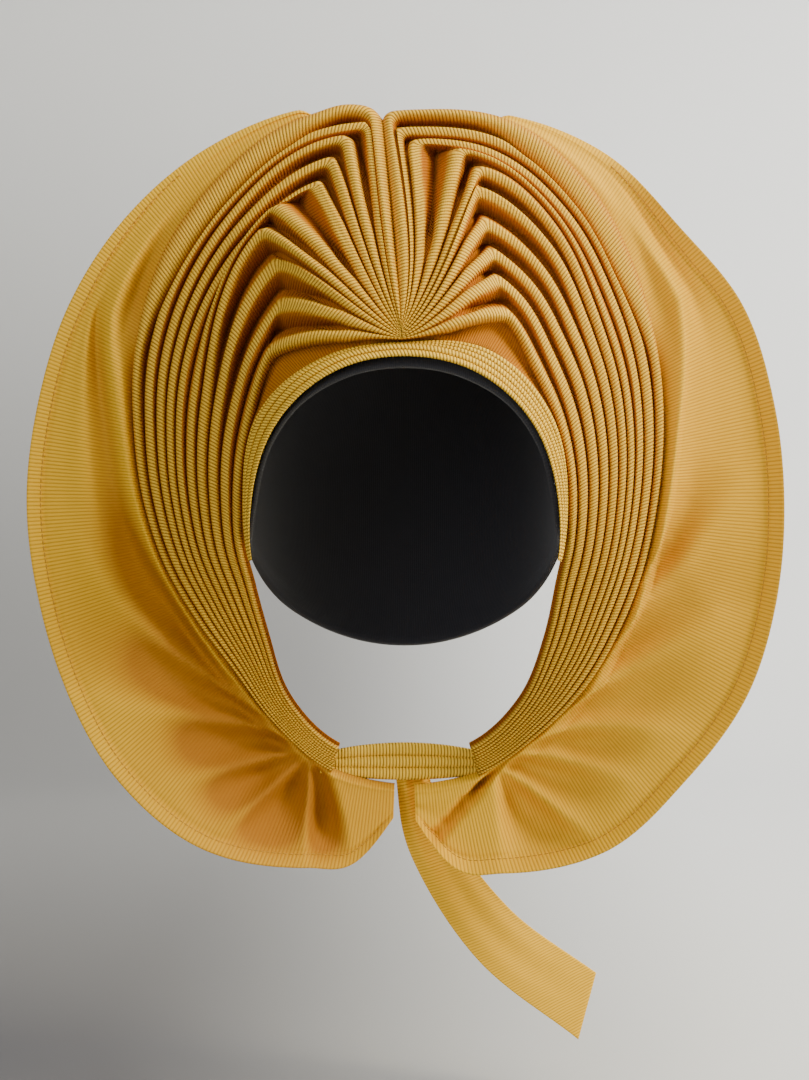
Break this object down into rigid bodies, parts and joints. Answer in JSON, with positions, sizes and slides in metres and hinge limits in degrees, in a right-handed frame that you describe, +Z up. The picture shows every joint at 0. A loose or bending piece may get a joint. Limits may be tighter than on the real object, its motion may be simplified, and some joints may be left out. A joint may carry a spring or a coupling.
{
  "type": "pre-tied gele head tie",
  "caption": "Pre-tied head tie of stiff ribbed cloth: pleats fan out from a pinch at the forehead inside a wide flared border, on a lining cap that the head fills.",
  "frame": {"origin": "inside the crown of the lining cap, where the top of the head sits", "axes": "+Z up, the wearer faces -Y, +X to the right as seen from the front"},
  "size_m": [0.3603, 0.1842, 0.4639],
  "materials": {
    "golden_ribbed_cloth": "stiff ribbed weave with a soft sheen",
    "black_lining": "fine stretch knit"
  },
  "bodies": {
    "root": {"lining_cap_crown": "black_lining", "lining_cap_front": "black_lining", "lining_cap_right": "black_lining", "lining_cap_back": "black_lining", "lining_cap_left": "black_lining", "forehead_band": "golden_ribbed_cloth", "pleats_left": "golden_ribbed_cloth", "pleats_right": "golden_ribbed_cloth", "border_left": "golden_ribbed_cloth", "border_right": "golden_ribbed_cloth", "nape_tie": "golden_ribbed_cloth", "tie_tail": "golden_ribbed_cloth"}
  },
  "joints": []
}
